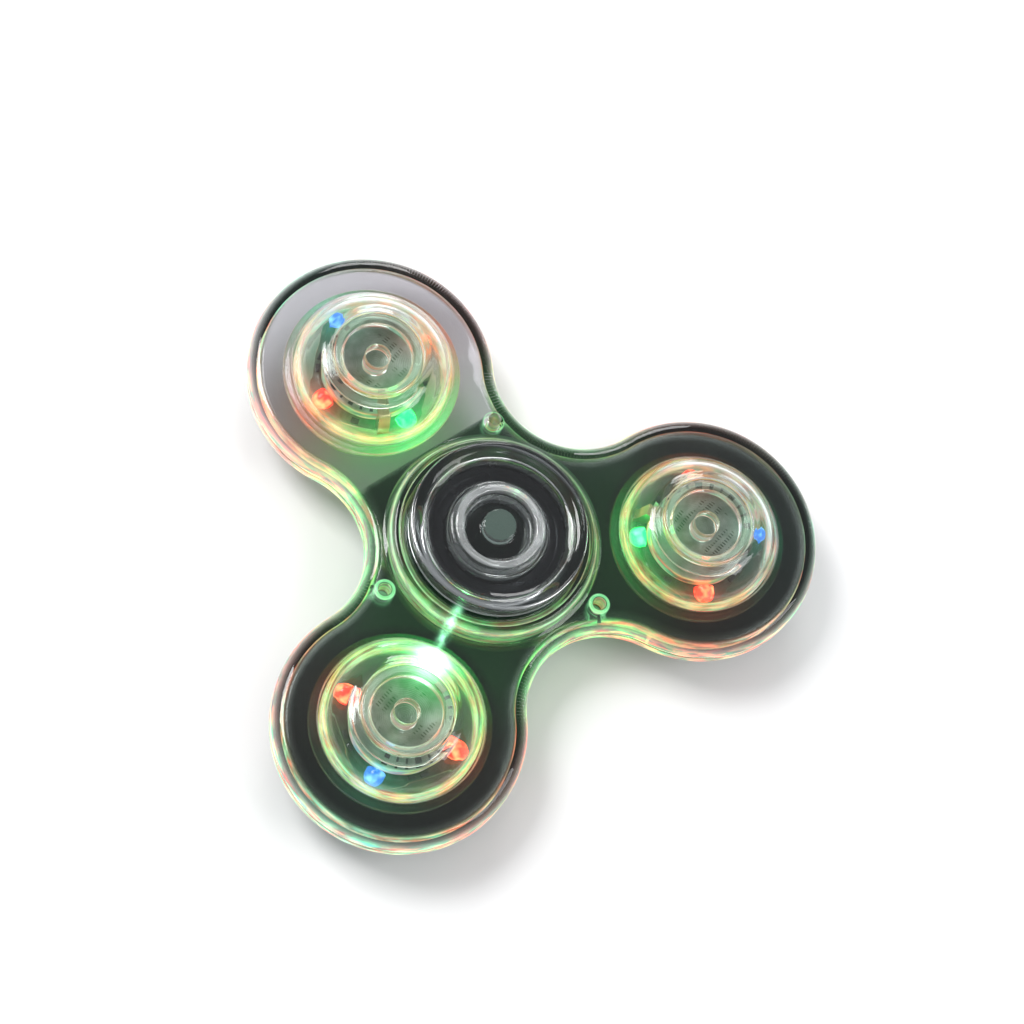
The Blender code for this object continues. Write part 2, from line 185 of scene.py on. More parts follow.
def soften(shape: BMesh, corner: Corner) -> None:
    """Bevels the ring of edges at a corner of a turned shape."""

    def on_ring(vert: BMVert) -> bool:
        """Whether a vertex stands on the corner's ring."""
        away = abs(math.hypot(vert.co.x, vert.co.y) - corner.radius * MM)
        return away < 2e-6 and abs(vert.co.z - corner.height * MM) < 2e-6

    ring = [edge for edge in shape.edges if all(on_ring(vert) for vert in edge.verts)]
    bevel(shape, ring, corner.soft, corner.segments)


def bevel(shape: BMesh, edges: Iterable[bmesh.types.BMEdge], width: float, segments: int = 3) -> None:
    """Rounds edges."""
    bmesh.ops.bevel(
        shape,
        geom=list(edges),
        offset=width * MM,
        offset_type="OFFSET",
        segments=segments,
        profile=0.5,
        affect="EDGES",
        material=-1,
        clamp_overlap=True,
    )


def raised(shape: BMesh, face: BMFace, depth: float) -> list[BMFace]:
    """Extrudes a flat face upwards.

    Args:
        shape: The shape the face is in.
        face: The face to extrude.
        depth: How far.

    Returns:
        The faces at the far end.
    """
    grown = bmesh.ops.extrude_face_region(shape, geom=[face])["geom"]
    bmesh.ops.translate(shape, verts=[v for v in grown if isinstance(v, BMVert)], vec=UP * depth * MM)
    bmesh.ops.recalc_face_normals(shape, faces=shape.faces)
    return [f for f in grown if isinstance(f, BMFace)]


def slab(outline: Sequence[tuple[float, float]], low: float, high: float, soft: float = 0.0) -> BMesh:
    """A flat outline with a thickness, its top and bottom edges rounded.

    Args:
        outline: The corners in X and Y.
        low: The height of the bottom face.
        high: The height of the top face.
        soft: The width of the bevel round both faces.

    Returns:
        A closed shape.
    """
    shape = bmesh.new()
    points = [shape.verts.new((x * MM, y * MM, low * MM)) for x, y in outline]
    face = bmesh.ops.contextual_create(shape, geom=points)["faces"][0]
    raised(shape, face, high - low)
    if soft > 0.0:
        flat = [e for e in shape.edges if abs(e.verts[0].co.z - e.verts[1].co.z) < 1e-7]
        bevel(shape, flat, soft, 2)
    return shape


def block(size: Colour, middle: Vector, soft: float, turn: float = 0.0) -> BMesh:
    """A rounded block.

    Args:
        size: Its length along X, Y and Z.
        middle: Where its middle goes.
        soft: The width of the bevel on every edge.
        turn: How far it is turned about Z, in radians.

    Returns:
        A closed shape.
    """
    shape = bmesh.new()
    bmesh.ops.create_cube(shape, size=1.0)
    bmesh.ops.scale(shape, verts=shape.verts, vec=Vector(size) * MM)
    bevel(shape, shape.edges, soft, 2)
    return moved(shape, Matrix.Translation(middle * MM) @ Matrix.Rotation(turn, 4, "Z"))


def joined(shapes: Iterable[BMesh]) -> BMesh:
    """Gathers shapes that don't touch into one, and frees them."""
    whole = bmesh.new()
    for shape in shapes:
        mesh = bpy.data.meshes.new("gathering")
        shape.to_mesh(mesh)
        shape.free()
        whole.from_mesh(mesh)
        bpy.data.meshes.remove(mesh)
    return whole


def mirrored(shape: BMesh, side: Side) -> BMesh:
    """Turns a shape over for the lower half, in place, with its faces still outwards."""
    if side is Side.LOWER:
        bmesh.ops.scale(shape, verts=shape.verts, vec=(1.0, 1.0, -1.0))
        bmesh.ops.reverse_faces(shape, faces=shape.faces)
    return shape


def bare(name: str, shape: BMesh) -> Object:
    """An object of a shape, with no material yet, in the scene. The shape is freed."""
    mesh = bpy.data.meshes.new(name)
    shape.to_mesh(mesh)
    shape.free()
    made = bpy.data.objects.new(name, mesh)
    bpy.context.scene.collection.objects.link(made)
    return made


def carved(base: BMesh, steps: Sequence[tuple[str, BMesh]]) -> BMesh:
    """Cuts and joins shapes with exact Booleans.

    Args:
        base: The shape to work on.
        steps: Each operation, DIFFERENCE or UNION, with the shape it takes.

    Returns:
        The shape that is left. All the shapes given are freed.
    """
    work = bare("carving", base)
    tools = []
    for operation, shape in steps:
        tool = bare("carving_tool", shape)
        tools.append(tool)
        modifier = work.modifiers.new(operation, "BOOLEAN")
        modifier.operation = operation
        modifier.solver = "EXACT"
        modifier.object = tool
    graph = bpy.context.evaluated_depsgraph_get()
    mesh = bpy.data.meshes.new_from_object(work.evaluated_get(graph))
    result = bmesh.new()
    result.from_mesh(mesh)
    bmesh.ops.remove_doubles(result, verts=result.verts, dist=1e-6)
    bmesh.ops.dissolve_degenerate(result, edges=result.edges, dist=1e-6)
    for made in (work, *tools):
        bpy.data.objects.remove(made, do_unlink=True)
    bpy.data.meshes.remove(mesh)
    return result


# ---------------------------------------------------------------------------------------------------------------
# Finishes


@dataclass
class NodeTable:
    """Builds the nodes of one material."""

    name: str

    def __post_init__(self) -> None:
        """Makes the material and takes its tree and its shader."""
        self.material = bpy.data.materials.new(self.name)
        self.material.use_nodes = True
        self.tree = self.material.node_tree
        self.shader = self.tree.nodes["Principled BSDF"]
        self.coordinates = self.tree.nodes.new("ShaderNodeTexCoord")

    def node(self, kind: str, **settings: object) -> bpy.types.Node:
        """A node with its settings."""
        made = self.tree.nodes.new(kind)
        for name, value in settings.items():
            setattr(made, name, value)
        return made

    def plug(self, value: object, socket: Socket) -> None:
        """Links a socket, or sets a number or colour."""
        if isinstance(value, Socket):
            self.tree.links.new(value, socket)
        else:
            socket.default_value = value

    def wired(self, kind: str, *values: object, **settings: object) -> Socket:
        """The first output of a node whose inputs are plugged in order."""
        made = self.node(kind, **settings)
        for value, socket in zip(values, made.inputs):
            self.plug(value, socket)
        return made.outputs[0]

    def maths(self, operation: str, *values: object) -> Socket:
        """The result of a Math node."""
        return self.wired("ShaderNodeMath", *values, operation=operation)

    def vector(self, operation: str, *values: object) -> Socket:
        """The vector result of a Vector Math node."""
        return self.wired("ShaderNodeVectorMath", *values, operation=operation)

    def product(self, first: object, *others: object) -> Socket:
        """The product of numbers."""
        for other in others:
            first = self.maths("MULTIPLY", first, other)
        return first

    def bell(self, distance: Socket, width: float) -> Socket:
        """A bell curve: 1 at no distance, fading over the width."""
        share = self.product(distance, 1.0 / width)
        return self.maths("EXPONENT", self.product(share, share, -1.0))

    def apart(self, vector: object, spot: Sequence[float]) -> Socket:
        """How far a vector is from a fixed spot."""
        made = self.node("ShaderNodeVectorMath", operation="DISTANCE")
        self.plug(vector, made.inputs[0])
        made.inputs[1].default_value = spot
        return made.outputs["Value"]

    def scaled(self, vector: object, by: object) -> Socket:
        """A vector scaled by a number."""
        made = self.node("ShaderNodeVectorMath", operation="SCALE")
        self.plug(vector, made.inputs[0])
        self.plug(by, made.inputs["Scale"])
        return made.outputs["Vector"]

    def noise(self, scale: float, detail: float = 2.0, stretch: Colour = (1.0, 1.0, 1.0)) -> Socket:
        """Noise on object coordinates, stretched along the axes."""
        mapping = self.node("ShaderNodeMapping")
        self.plug(self.coordinates.outputs["Object"], mapping.inputs["Vector"])
        mapping.inputs["Scale"].default_value = stretch
        made = self.node("ShaderNodeTexNoise")
        self.plug(mapping.outputs["Vector"], made.inputs["Vector"])
        made.inputs["Scale"].default_value = scale
        made.inputs["Detail"].default_value = detail
        return made.outputs["Fac"]

    def spread(self, value: object, low: float, high: float, to_low: float, to_high: float) -> Socket:
        """A value moved from one range to another and kept inside it."""
        return self.wired("ShaderNodeMapRange", value, low, high, to_low, to_high, clamp=True)

    def blended(self, share: object, first: object, second: object) -> Socket:
        """A colour between two."""
        made = self.node("ShaderNodeMix", data_type="RGBA")
        self.plug(share, made.inputs[0])
        self.plug(first, made.inputs[6])
        self.plug(second, made.inputs[7])
        return made.outputs[2]

    def bumped(self, height: Socket, strength: float, distance: float) -> None:
        """Gives the shader a bump."""
        made = self.node("ShaderNodeBump")
        made.inputs["Strength"].default_value = strength
        made.inputs["Distance"].default_value = distance
        self.plug(height, made.inputs["Height"])
        self.plug(made.outputs["Normal"], self.shader.inputs["Normal"])

    def along(self, turn: float) -> Socket:
        """How far a point lies along a level direction, given as an angle in radians."""
        x, y, _ = self.position()
        return self.maths("ADD", self.product(x, math.cos(turn)), self.product(y, math.sin(turn)))

    def radius(self, centre: tuple[float, float]) -> Socket:
        """How far a point is from a vertical axis."""
        x, y, _ = self.position()
        across = self.maths("SUBTRACT", x, centre[0])
        along = self.maths("SUBTRACT", y, centre[1])
        squares = self.maths("ADD", self.product(across, across), self.product(along, along))
        return self.maths("SQRT", squares)

    def upright(self) -> Socket:
        """How steep a face is: 0 on a flat one and 1 on a wall."""
        made = self.node("ShaderNodeSeparateXYZ")
        self.plug(self.coordinates.outputs["Normal"], made.inputs[0])
        return self.maths("SUBTRACT", 1.0, self.maths("ABSOLUTE", made.outputs[2]))

    def position(self) -> tuple[Socket, Socket, Socket]:
        """The object coordinates' three parts."""
        made = self.node("ShaderNodeSeparateXYZ")
        self.plug(self.coordinates.outputs["Object"], made.inputs[0])
        return made.outputs[0], made.outputs[1], made.outputs[2]


@dataclass(frozen=True)
class Places:
    """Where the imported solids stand, read from the frame."""

    seam: float
    pitch: float
    turns: dict[str, float]

    @classmethod
    def of_frame(cls) -> Places:
        """Reads the seam's height and the lobes' places from the boxes of the solids."""
        low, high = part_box("bearing_inner_ring")
        axis = (Vector(low) + Vector(high)) / 2
        turns = {}
        for lobe in "abc":
            low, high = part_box(f"coin_cell_{lobe}")
            middle = (Vector(low) + Vector(high)) / 2 - axis
            turns[lobe] = math.atan2(middle.y, middle.x)
            pitch = math.hypot(middle.x, middle.y)
        return cls(seam=axis.z, pitch=pitch, turns=turns)

    def hub(self) -> Matrix:
        """The hub's middle."""
        return Matrix.Translation((0.0, 0.0, self.seam))

    def capsule(self, lobe: str) -> Matrix:
        """A capsule's middle, with X away from the hub."""
        return self.hub() @ Matrix.Rotation(self.turns[lobe], 4, "Z") @ Matrix.Translation((self.pitch, 0.0, 0.0))


@dataclass(frozen=True)
class Glow:
    """Lamp light painted as emission on clear plastic. It fades with the distance from each lamp and gathers on the
    slopes.

    The shares are parts of its strength: on flat faces, on slopes, round a capsule and, for green, far from the
    hub. The beam and the flare come from the keenest lamp, and the stud light fills the studs' tubes.
    """

    places: Places
    strength: float
    reach: float
    flat_share: float = 0.15
    slope_gain: float = 0.62
    limit: float = 0.3
    green_rest: float = 0.12
    slope_share: float = 1.0
    round_capsule: float = 1.0
    stud_light: float = 0.0
    lamp_radius: float = 7.6 * MM
    lamp_height: float = 1.6 * MM
    streak_low: float = 0.42
    streak_high: float = 0.62
    streak_scale: float = 260.0
    keen_turn: float = 0.0
    keen_gain: float = 1.0
    beam: float = 0.0
    flare: float = 0.0

    def distance(self, table: NodeTable, lamp: Lamp, folded: Socket) -> Socket:
        """How far a point is from a lamp.

        Args:
            table: The material's nodes.
            lamp: The lamp.
            folded: The point, turned into lobe a's place.

        Returns:
            The distance.
        """
        angle = math.radians(lamp.turn)
        spot = (
            self.places.pitch + self.lamp_radius * math.cos(angle),
            self.lamp_radius * math.sin(angle),
            self.places.seam + self.lamp_height,
        )
        return table.apart(folded, spot)

    def folded(self, table: NodeTable) -> Socket:
        """A point turned about Z until it is in lobe a's third."""
        x, y, z = table.position()
        fold = table.maths("WRAP", table.maths("ARCTAN2", y, x), math.pi / 3, -math.pi / 3)
        radius = table.radius((0.0, 0.0))
        along = table.product(radius, table.maths("COSINE", fold))
        across = table.product(radius, table.maths("SINE", fold))
        return table.wired("ShaderNodeCombineXYZ", along, across, z)

    def aside(self, table: NodeTable, folded: Socket, spot: tuple[float, float]) -> Socket:
        """How far a folded point is from an upright axis."""
        return table.apart(table.vector("MULTIPLY", folded, (1.0, 1.0, 0.0)), (*spot, 0.0))

    def dimmed(self, table: NodeTable, folded: Socket) -> Socket:
        """How much of the light is left close round a capsule and on the collar."""
        beside = self.aside(table, folded, (self.places.pitch, 0.0))
        capsule = table.spread(beside, 10.6 * MM, 12.0 * MM, self.round_capsule, 1.0)
        collar = table.spread(table.radius((0.0, 0.0)), 12.9 * MM, 14.0 * MM, 0.45, 1.0)
        stud = table.spread(self.beside_stud(table, folded), 1.3 * MM, 1.6 * MM, 0.2, 1.0)
        return table.product(capsule, collar, stud)

    def beside_stud(self, table: NodeTable, folded: Socket) -> Socket:
        """How far a folded point is from the axis of its stud."""
        turn = math.radians(STUD_TURN - 120.0)
        return self.aside(table, folded, (STUD_RING * MM * math.cos(turn), STUD_RING * MM * math.sin(turn)))

    def lit_studs(self, table: NodeTable, folded: Socket) -> Socket:
        """Green light caught in the tubes of the studs."""
        apart = self.beside_stud(table, folded)
        inside = table.spread(apart, 0.84 * MM, 0.94 * MM, 0.0, 1.0)
        share = table.product(inside, table.spread(apart, 1.22 * MM, 1.4 * MM, 1.0, 0.0))
        return table.scaled((0.30, 1.0, 0.42), table.product(share, self.stud_light))

    def flared(self, table: NodeTable) -> Socket:
        """The flare of the keenest lamp in the plastic over it."""
        away = self.places.pitch - self.lamp_radius + 0.5 * MM
        height = self.places.seam + 5.2 * MM
        spot = (away * math.cos(self.keen_turn), away * math.sin(self.keen_turn), height)
        share = table.bell(table.apart(table.coordinates.outputs["Object"], spot), 1.7 * MM)
        return table.scaled((0.55, 1.0, 0.72), table.product(share, self.flare))

    def beam_light(self, table: NodeTable) -> Socket:
        """A narrow green beam from the keenest lamp towards the hub, broken into glints."""
        narrow = table.bell(table.along(self.keen_turn + math.pi / 2), 0.5 * MM)
        along = table.along(self.keen_turn)
        inside = table.spread(along, 9.8 * MM, 12.0 * MM, 0.0, 1.0)
        outside = table.spread(along, 14.2 * MM, 16.5 * MM, 1.0, 0.0)
        glints = table.spread(table.noise(700.0, 2.0), 0.42, 0.6, 0.15, 1.6)
        share = table.product(narrow, inside, outside, glints, self.beam)
        return table.scaled((0.35, 1.0, 0.55), share)

    def wire(self, table: NodeTable) -> None:
        """Adds the light to a material's emission."""
        folded = self.folded(table)
        upright = table.spread(table.upright(), 0.02, 0.7, 0.0, 1.0)
        keen = table.spread(table.along(self.keen_turn), 7.0 * MM, 12.0 * MM, 1.0, self.keen_gain)
        fade = table.spread(upright, 0.0, 1.0, -1.0, self.slope_gain - 1.0)
        hubwards = table.spread(table.radius((0.0, 0.0)), 18.0 * MM, 27.0 * MM, 1.0, self.green_rest)
        total: object = (0.0, 0.0, 0.0)
        for number, lamp in enumerate(Lamp):
            noise = table.noise(self.streak_scale * (1.0 + 0.23 * number), 3.0, (1.0, 1.0, 4.0))
            streak = table.spread(noise, self.streak_low, self.streak_high, 0.05, 2.2)
            streak = table.maths("ADD", table.product(table.maths("SUBTRACT", streak, 1.0), upright), 1.0)
            apart = table.product(self.distance(table, lamp, folded), 1.0 / (self.reach * lamp.reach))
            share = table.maths("EXPONENT", table.product(apart, fade))
            hot = table.spread(share, 0.3, 0.9, 0.0, 0.8)
            share = table.maths("MINIMUM", share, self.limit)
            if lamp is Lamp.GREEN:
                share = table.product(share, keen, hubwards)
            colour = table.blended(hot, (*lamp.caught, 1.0), (*lamp.hot, 1.0))
            flat = self.flat_share * (lamp.spill if self.flat_share < 0.5 else 1.0)
            edge = table.spread(upright, 0.0, 1.0, flat, self.slope_share)
            part = table.product(share, edge, streak)
            total = table.vector("ADD", total, table.scaled(colour, part))
        light = table.scaled(total, self.strength)
        if self.round_capsule < 1.0:
            light = table.scaled(light, self.dimmed(table, folded))
        if self.beam > 0.0:
            light = table.vector("ADD", light, self.beam_light(table))
        if self.stud_light > 0.0:
            light = table.vector("ADD", light, self.lit_studs(table, folded))
        if self.flare > 0.0:
            light = table.vector("ADD", light, self.flared(table))
        table.plug(light, table.shader.inputs["Emission Color"])
        table.shader.inputs["Emission Strength"].default_value = 1.0


@dataclass(frozen=True)
class ClearPlastic:
    """Polished clear plastic with faint flow waves, which carries some of the lamps' light, painted as emission.

    Its slopes may be painted lighter than its flat faces, as a painted highlight along the rounded edges.
    """

    name: str
    tint: Colour
    roughness: float = 0.02
    wave: float = 0.05
    glow: Glow | None = None
    slope_highlight_tint: Colour | None = None
    pale_tint: Colour | None = None
    pale_turn: float = 0.0
    pale_from: float = 0.0
    rim_highlight_tint: Colour | None = None
    slope_haze: float = 0.0
    seam: float | None = None
    bands: tuple[tuple[float, float, Colour], ...] = ()
    centre: tuple[float, float] = (0.0, 0.0)
    band_clearness: float = 0.6

    def near_rim(self, table: NodeTable, glow: Glow) -> Socket:
        """How far a point is into the band along the spinner's outline: 0 inside it and 1 by the edge."""
        folded = glow.folded(table)
        pitch = glow.places.pitch
        lobe = table.spread(glow.aside(table, folded, (pitch, 0.0)), 12.8 * MM, 13.5 * MM, 0.0, 1.0)
        share = table.product(lobe, table.spread(table.radius((0.0, 0.0)), 21.0 * MM, 23.0 * MM, 0.0, 1.0))
        for turn in (math.pi / 3, -math.pi / 3):
            apart = glow.aside(table, folded, (pitch * math.cos(turn), pitch * math.sin(turn)))
            share = table.maths("MAXIMUM", share, table.spread(apart, 12.5 * MM, 13.2 * MM, 1.0, 0.0))
        return share

    def material(self) -> Material:
        """The material of this finish."""
        table = NodeTable(self.name)
        shader = table.shader.inputs
        shader["Base Color"].default_value = (*self.tint, 1.0)
        shader["Roughness"].default_value = self.roughness
        shader["IOR"].default_value = 1.49
        shader["Transmission Weight"].default_value = 1.0
        table.bumped(table.noise(160.0, 2.0), self.wave, 0.2 * MM)
        colour: object = (*self.tint, 1.0)
        # Slopes painted lighter than flat faces: a painted highlight along the rounded edges.
        if self.slope_highlight_tint is not None:
            slope = table.spread(table.upright(), 0.04, 0.5, 0.0, 1.0)
            colour = table.blended(slope, colour, (*self.slope_highlight_tint, 1.0))
        # A band along the outline painted lighter: a painted highlight on the rounded rim.
        if self.rim_highlight_tint is not None and self.glow is not None:
            colour = table.blended(self.near_rim(table, self.glow), colour, (*self.rim_highlight_tint, 1.0))
        if self.pale_tint is not None:
            reach = table.along(self.pale_turn)
            share = table.spread(reach, self.pale_from - 0.1 * MM, self.pale_from + 0.1 * MM, 0.0, 1.0)
            colour = table.blended(share, colour, (*self.pale_tint, 1.0))
        frost: object = 0.0
        if self.slope_haze > 0.0:
            # Slopes made partly diffuse so that their painted highlight colour shows.
            frost = table.spread(table.upright(), 0.04, 0.5, 0.0, self.slope_haze)
        # Rings of colour about the centre, less clear than the rest; the pale rings on the caps and buttons are
        # painted highlights and painted lamp light.
        for low, high, tint in self.bands:
            radius = table.radius(self.centre)
            inside = table.product(
                table.spread(radius, low - 0.1 * MM, low, 0.0, 1.0),
                table.spread(radius, high, high + 0.1 * MM, 1.0, 0.0),
            )
            colour = table.blended(inside, colour, (*tint, 1.0))
            frost = table.maths("MAXIMUM", frost, table.product(inside, 1.0 - self.band_clearness))
        if isinstance(frost, Socket):
            table.plug(table.maths("SUBTRACT", 1.0, frost), shader["Transmission Weight"])
        # A dark line painted on the walls at the seam where the shells meet: painted shade.
        if self.seam is not None:
            _, _, z = table.position()
            apart = table.maths("ABSOLUTE", table.maths("SUBTRACT", z, self.seam))
            seam_shade = table.spread(apart, 0.10 * MM, 0.20 * MM, 1.0, 0.0)
            seam_shade = table.product(seam_shade, table.spread(table.upright(), 0.3, 0.6, 0.0, 1.0))
            colour = table.blended(seam_shade, colour, (0.10, 0.11, 0.10, 1.0))
        table.plug(colour, shader["Base Color"])
        if self.glow is not None:
            self.glow.wire(table)
        return table.material


@dataclass(frozen=True)
class Metal:
    """Metal with turning marks round Z, and smudges."""

    name: str
    colour: Colour
    roughness: float
    ring_scale: float = 0.0
    ring_bump: float = 0.1
    centre: tuple[float, float] = (0.0, 0.0)

    def material(self) -> Material:
        """The material of this finish."""
        table = NodeTable(self.name)
        shader = table.shader.inputs
        shader["Metallic"].default_value = 1.0
        smudge = table.noise(350.0, 4.0)
        dark = tuple(0.8 * part for part in self.colour)
        share = table.spread(smudge, 0.35, 0.7, 0.0, 1.0)
        table.plug(table.blended(share, (*self.colour, 1.0), (*dark, 1.0)), shader["Base Color"])
        table.plug(table.spread(smudge, 0.3, 0.75, self.roughness, self.roughness + 0.15), shader["Roughness"])
        if self.ring_scale > 0.0:
            waves = table.maths("SINE", table.product(table.radius(self.centre), self.ring_scale))
            table.bumped(waves, self.ring_bump, 0.02 * MM)
        return table.material


@dataclass(frozen=True)
class CellSteel:
    """A coin cell's nickel, brushed in rings, with short engraved strokes that say nothing and painted lamp light.
    """

    name: str
    colour: Colour
    centre: tuple[float, float]
    glow: Glow
    roughness: float = 0.3
    stroke_pitch: float = 0.55 * MM
    row_pitch: float = 1.5 * MM

    def material(self) -> Material:
        """The material of this finish."""
        table = NodeTable(self.name)
        shader = table.shader.inputs
        shader["Metallic"].default_value = 0.85
        radius = table.radius(self.centre)
        x, y, _ = table.position()
        lines = table.maths("SINE", table.product(table.maths("ADD", x, y), math.tau / self.stroke_pitch))
        rows = table.maths("SINE", table.product(table.maths("SUBTRACT", x, y), math.tau / self.row_pitch))
        stroke = table.product(table.spread(lines, 0.2, 0.5, 0.0, 1.0), table.spread(rows, -0.1, 0.1, 0.0, 1.0))
        patch = table.spread(table.noise(300.0, 1.0), 0.46, 0.50, 0.0, 1.0)
        within = table.spread(radius, 4.0 * MM, 4.3 * MM, 1.0, 0.0)
        beyond = table.spread(radius, 1.9 * MM, 2.1 * MM, 0.0, 1.0)
        share = table.product(stroke, patch, within, beyond)
        dark = tuple(0.15 * part for part in self.colour)
        smudge = table.spread(table.noise(500.0, 4.0), 0.35, 0.65, 0.0, 1.0)
        light = tuple(min(1.0, 2.1 * part) for part in self.colour)
        base = table.blended(smudge, (*self.colour, 1.0), (*light, 1.0))
        table.plug(table.blended(share, base, (*dark, 1.0)), shader["Base Color"])
        table.plug(table.spread(smudge, 0.0, 1.0, self.roughness, self.roughness + 0.2), shader["Roughness"])
        table.bumped(table.maths("SINE", table.product(radius, 26000.0)), 0.3, 0.02 * MM)
        self.glow.wire(table)
        return table.material


@dataclass(frozen=True)
class LitLens:
    """A lamp's own body, lit from inside."""

    name: str
    colour: Colour
    hot: Colour
    power: float

    def material(self) -> Material:
        """The material of this finish."""
        table = NodeTable(self.name)
        shader = table.shader.inputs
        shader["Roughness"].default_value = 0.15
        grain = table.spread(table.noise(900.0, 1.0), 0.46, 0.7, 0.0, 1.0)
        mixed = table.blended(grain, (*self.colour, 1.0), (*self.hot, 1.0))
        table.plug(mixed, shader["Base Color"])
        table.plug(mixed, shader["Emission Color"])
        shader["Emission Strength"].default_value = self.power
        return table.material


@dataclass(frozen=True)
class Moulded:
    """Opaque moulded plastic, laminate or print with fine grain."""

    name: str
    colour: Colour
    roughness: float = 0.5
    grain_scale: float = 900.0
    grain_bump: float = 0.15
    specks: Colour | None = None
    glow: Glow | None = None

    def material(self) -> Material:
        """The material of this finish."""
        table = NodeTable(self.name)
        shader = table.shader.inputs
        shader["Roughness"].default_value = self.roughness
        grain = table.noise(self.grain_scale, 3.0)
        other = self.specks or tuple(0.85 * part for part in self.colour)
        share = table.spread(grain, 0.45, 0.62, 0.0, 1.0)
        table.plug(table.blended(share, (*self.colour, 1.0), (*other, 1.0)), shader["Base Color"])
        table.bumped(grain, self.grain_bump, 0.03 * MM)
        # Painted lamp light as emission, as on the board.
        if self.glow is not None:
            self.glow.wire(table)
        return table.material


Finish = ClearPlastic | Metal | CellSteel | LitLens | Moulded


@dataclass
class Bench:
    """Turns finished shapes into named pieces that ride on their bodies."""

    places: Places
    materials: dict[str, Material] = field(default_factory=dict)
    count: int = 0

    def finish(self, finish: Finish) -> Material:
        """A finish's material, made once."""
        if finish.name not in self.materials:
            self.materials[finish.name] = finish.material()
        return self.materials[finish.name]

    def put(
        self,
        name: str,
        shape: BMesh,
        finish: Finish,
        body: str,
        slot: str,
        place: Matrix,
        stands_in: bool = True,
        sharp: float = 35.0,
    ) -> Object:
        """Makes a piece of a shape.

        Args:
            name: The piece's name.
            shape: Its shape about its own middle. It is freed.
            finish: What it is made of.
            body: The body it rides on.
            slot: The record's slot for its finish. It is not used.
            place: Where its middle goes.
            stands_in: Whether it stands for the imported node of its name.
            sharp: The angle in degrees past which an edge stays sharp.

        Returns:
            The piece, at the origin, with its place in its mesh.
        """
        piece = bare(name, moved(shape, place))
        piece.data.shade_smooth()
        piece.data.set_sharp_from_angle(angle=math.radians(sharp))
        piece.data.materials.append(self.finish(finish))
        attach(piece, body)
        if stands_in:
            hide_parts(name)
        self.count += 1
        LOG.info("%s: %d faces on %s", name, len(piece.data.polygons), body)
        return piece

    def dress(self, frame: dict, node: str, finish: Finish) -> None:
        """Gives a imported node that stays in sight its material."""
        solid = frame["nodes"][node]
        solid.data.materials.clear()
        solid.data.materials.append(self.finish(finish))
        LOG.info("%s: packed node dressed as %s", node, finish.name)


# ---------------------------------------------------------------------------------------------------------------
# The spinner's sub-assemblies


